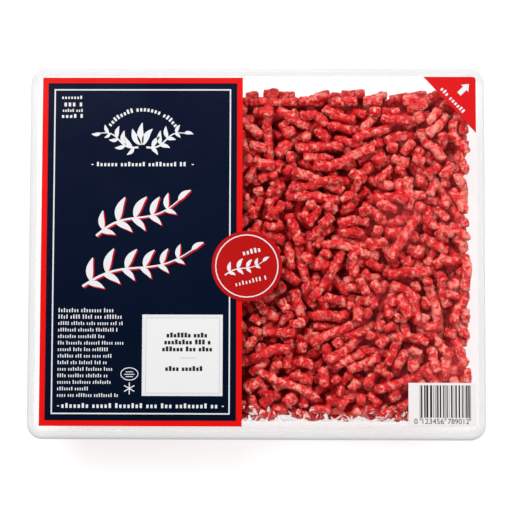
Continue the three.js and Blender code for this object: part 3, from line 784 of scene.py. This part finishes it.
plain_row(bm, -19.0, 19.5, 2.2, 1.85, low, on_arc)
plain_row(bm, -79.0, -33.8, 2.1, 1.8, low, level_at(43.6))
for x in (-81.2, -31.6):
    stroke(bm, ((x - 0.5, 43.4), (x + 0.5, 43.4)), DASH_WIDTH, low)
plain_row(bm, -95.2, -17.6, 2.3, 2.0, low, level_at(-75.4))
for x in (-96.8, -16.2):
    stroke(bm, ((x - 0.5, -75.6), (x + 0.5, -75.6)), DASH_WIDTH, low)
finish_print("label_small_rows", bm, white_ink)

bm = bmesh.new()
ROW_ENDS = (-70.0, -65.1, -64.6, -67.5, -73.9, -63.6, -71.0, -70.5, -72.4, -70.0, -72.4, -69.5, -82.2, -67.0)
for row, (right_end, y) in enumerate(zip(ROW_ENDS, np.linspace(-28.7, -70.3, 14))):
    height, pitch = (1.75, 1.15) if row > 1 else (2.0, 1.3)
    plain_row(bm, -97.1 - 0.02 * row, right_end, height, pitch, low, level_at(y), bold=0.45)
MARK_X, OVAL_Y, STAR_Y, STAR_ARM = -62.0, -59.9, -67.0, 2.9
oval = np.linspace(0, 2 * math.pi, 33)
stroke(bm, np.stack((MARK_X + 4.2 * np.cos(oval), OVAL_Y + 3.0 * np.sin(oval)), axis=1), 0.4, low)
for y, half in ((-58.9, 1.8), (-60.1, 2.6), (-61.2, 1.8)):
    stroke(bm, ((MARK_X - half, y), (MARK_X + half, y)), 0.35, low)
for turn in (0, 60, 120):
    arm = Vector((math.cos(math.radians(turn + 30)), math.sin(math.radians(turn + 30)))) * STAR_ARM
    ends = (MARK_X - arm.x, STAR_Y - arm.y), (MARK_X + arm.x, STAR_Y + arm.y)
    stroke(bm, ends, 0.5, low + 0.004 * turn / 60)
finish_print("label_information_rows", bm, white_ink)


# Flourishes: sprigs of leaves in white ink on the navy field. Two small ones spread from three leaves under the arc
# of marks, and two large ones below climb to the right, with a dark red edge on their lower right.
def leaf(bm, foot, turn, length, width, low):
    """One brushed leaf from its foot on the stem: it bends a little, and is widest before its middle."""
    share = np.linspace(0, 1, 11)
    ahead, aside = np.array((math.cos(turn), math.sin(turn))), np.array((-math.sin(turn), math.cos(turn)))
    points = foot + np.outer(share * length, ahead) + np.outer(0.1 * length * np.sin(math.pi * share), aside)
    stroke(bm, points, width * (0.12 + np.sin(math.pi * share**0.8)), low)


def sprig(bm, start, end, bow, sizes, width, low, upper=1):
    """A thin stem that bows both ways between two points, with a pair of leaves at each size, leaning to its tip."""
    share = np.linspace(0, 1, 61)
    run = np.array(end) - np.array(start)
    aside = np.array((-run[1], run[0])) / np.hypot(*run)
    stem = np.array(start) + np.outer(share, run) + np.outer(bow * np.sin(2 * math.pi * share), aside)
    stroke(bm, stem, width * (1.1 - 0.6 * share), low)
    for i, size in enumerate(sizes):
        at = int(60 * (i + 0.6) / (len(sizes) + 0.5))
        turn = math.atan2(*(stem[at + 1] - stem[at - 1])[::-1])
        leaf(bm, stem[at], turn + upper * 0.95, size, size * 0.22 + 0.6, low + 0.006)
        leaf(bm, stem[at - 2], turn - upper * 0.85, size * 0.75, size * 0.18 + 0.5, low + 0.012)
    leaf(bm, stem[-2], math.atan2(*(stem[-1] - stem[-4])[::-1]), sizes[-1], sizes[-1] * 0.22 + 0.6, low + 0.018)


def lower_sprigs(bm, shift, low):
    right, down = shift
    shorter, longer = (9.5, 12.5, 12.0, 10.0, 8.0), (11.5, 12.5, 11.0, 10.0, 8.5, 7.0)
    sprig(bm, (-79.0 + right, 8.0 - down), (-38.0 + right, 26.0 - down), 2.2, shorter, 1.1, low)
    sprig(bm, (-85.5 + right, -17.0 - down), (-31.0 + right, 1.5 - down), 2.4, longer, 1.1, low)


bm = bmesh.new()
for side in (-1, 1):
    start, end = (ARC_X + side * 2.0, 52.0), (ARC_X + side * 21.0, 59.0)
    sprig(bm, start, end, -side * 1.6, (6.6, 7.0, 6.0, 4.6), 0.9, low, upper=side)
for tilt in (-0.5, 0.0, 0.5):
    leaf(bm, np.array((ARC_X + 1.2 * tilt, 53.2)), math.pi / 2 - tilt, 11.0 - 4 * abs(tilt), 2.9, low + 0.024)
lower_sprigs(bm, (0, 0), low)
finish_print("label_sprigs", bm, white_ink)
bm = bmesh.new()
lower_sprigs(bm, (0.65, 0.6), FIELD_TOP + 0.002)
finish_print("label_sprig_shadows", bm, printed("red_shadow_ink", srgb(186, 20, 24)))


# Date panel: a pale grey field printed on the label, where the shop puts its own rows of black marks. It has a white
# edge, a thin grey frame and a short rule between the rows.
PANEL_TOP = 32.6
LEFT, RIGHT, BOTTOM, TOP = -55.9, -16.4, -70.6, -30.8
EDGE_WIDTH, FRAME_WIDTH, RULE_WIDTH = 1.1, 0.18, 0.22
finish_node("date_panel", printed("panel_ink", srgb(211, 211, 211), roughness=0.55, specular=0.15, uneven=0.02))


def outline(bm, left, right, bottom, top, width, low):
    for start, end in (((left, bottom), (right, bottom)), ((left, top), (right, top))):
        stroke(bm, (start, end), width, low)
    for x in (left, right):
        stroke(bm, ((x, bottom + width / 2), (x, top - width / 2)), width, low)


low = PANEL_TOP + 0.01
bm = bmesh.new()
outline(bm, LEFT + 0.6, RIGHT - 0.6, BOTTOM + 0.6, TOP - 0.6, EDGE_WIDTH, low)
finish_print("panel_edge", bm, white_ink)
bm = bmesh.new()
outline(bm, LEFT + 1.9, RIGHT - 1.6, BOTTOM + 1.4, TOP - 1.6, FRAME_WIDTH, low + 0.03)
stroke(bm, ((-37.4, -52.0), (-29.4, -52.0)), RULE_WIDTH, low + 0.03)
finish_print("panel_frame", bm, printed("grey_ink", srgb(165, 165, 165)))
black_ink = printed("black_ink", srgb(12, 11, 12), roughness=0.4)
bm = bmesh.new()
for left, right, y in ((-43.9, -22.4, -40.8), (-45.0, -20.9, -44.2), (-46.0, -21.6, -47.6), (-44.4, -25.4, -57.2)):
    plain_row(bm, left, right, 2.4, 1.75, low + 0.03, level_at(y), bold=0.72)
finish_print("panel_rows", bm, black_ink)


# Seal: a round dark red sticker that laps over the label's edge, with a white ring, a sprig and two rows of plain
# marks, all printed on the slant.
SEAL_X, SEAL_Y, SEAL_TOP = -4.7, -6.8, 32.8
SLANT = math.radians(13)
finish_node("round_seal", printed("seal_ink", srgb(166, 16, 15), uneven=0.06))
finish_node("seal_ring", white_ink)


def on_seal(y):
    def place(along):
        x_spot = SEAL_X + along * math.cos(SLANT) - y * math.sin(SLANT)
        y_spot = SEAL_Y + along * math.sin(SLANT) + y * math.cos(SLANT)
        return (x_spot, y_spot), SLANT

    return place


low = SEAL_TOP + 0.03
bm = bmesh.new()
plain_row(bm, -0.5, 9.0, 2.4, 1.9, low, on_seal(6.6))
plain_row(bm, -7.4, 9.0, 2.0, 1.7, low, on_seal(-7.6), bold=0.4)
sprig(bm, on_seal(-2.0)(-11.5)[0], on_seal(0.5)(8.5)[0], 0.9, (5.0, 5.6, 4.8, 3.8), 0.6, low)
finish_print("seal_print", bm, white_ink)


# Peel corner: a red three-cornered sticker over the film's corner, where the film is pulled open. It has a white arrow
# and one row of plain marks beside its long edge.
LABEL_TOP = 32.4
finish_node("peel_corner", printed("peel_ink", srgb(196, 20, 22), uneven=0.1))
finish_node("peel_arrow", white_ink)


def beside_long_edge(along):
    turn = math.radians(-47)
    return (97.0 + along * math.cos(turn), 75.4 + along * math.sin(turn)), turn


bm = bmesh.new()
plain_row(bm, -8.4, 8.4, 2.0, 1.75, LABEL_TOP + 0.03, beside_long_edge)
finish_print("peel_print", bm, white_ink)


# Bar code label: thin white paper, stuck on the film at the lower right. Its black bars stand between longer guard
# bars, with plain digits under them.
finish_node("bar_code_label", printed("label_paper", srgb(216, 212, 211), roughness=0.6, specular=0.15, uneven=0.03))
MODULE, BARS_LEFT, BARS_TOP, BARS_FOOT, GUARD_FOOT = 0.262, 79.9, -65.0, -80.8, -82.2
PRINTED_SHARE = 0.94
low = LABEL_TOP + 0.03
bars = np.zeros(95, int)
bars[3:45], bars[50:92] = 1, 1
for half in (3, 50):
    at = half + marks.randint(1, 3)
    while at < half + 42:
        white = marks.randint(1, 4)
        bars[at : min(at + white, half + 42)] = 0
        at += white + marks.randint(1, 5)
guards = (0, 2, 46, 48, 92, 94)
bm = bmesh.new()
start = None
for at in range(96):
    dark = at < 95 and bars[at] == 1
    if dark and start is None:
        start = at
    if not dark and start is not None:
        x0, x1 = BARS_LEFT + start * MODULE, BARS_LEFT + at * MODULE
        stroke(bm, (((x0 + x1) / 2, BARS_FOOT), ((x0 + x1) / 2, BARS_TOP)), (x1 - x0) * PRINTED_SHARE, low)
        start = None
for at in guards:
    x = BARS_LEFT + (at + 0.5) * MODULE
    stroke(bm, ((x, GUARD_FOOT), (x, BARS_TOP)), MODULE * PRINTED_SHARE, low)
finish_print("bar_code_bars", bm, black_ink)

DIGIT_HEIGHT, DIGIT_FOOT = 2.6, -83.85
bm = bmesh.new()
for body, left, width in (("0", 77.2, 1.6), ("123456", 81.2, 10.4), ("789012", 93.55, 10.3)):
    text = bpy.data.curves.new("digits", "FONT")
    text.body = body
    holder = bpy.data.objects.new("digits", text)
    bpy.context.scene.collection.objects.link(holder)
    digits = bpy.data.meshes.new_from_object(holder.evaluated_get(bpy.context.evaluated_depsgraph_get()))
    bpy.data.objects.remove(holder)
    low_x, high_x = min(v.co.x for v in digits.vertices), max(v.co.x for v in digits.vertices)
    low_y, high_y = min(v.co.y for v in digits.vertices), max(v.co.y for v in digits.vertices)
    size = Matrix.Diagonal((width / (high_x - low_x), DIGIT_HEIGHT / (high_y - low_y), 1, 1))
    digits.transform(Matrix.Translation((left, DIGIT_FOOT, low)) @ size @ Matrix.Translation((-low_x, -low_y, 0)))
    bm.from_mesh(digits)
finish_print("bar_code_digits", bm, black_ink)
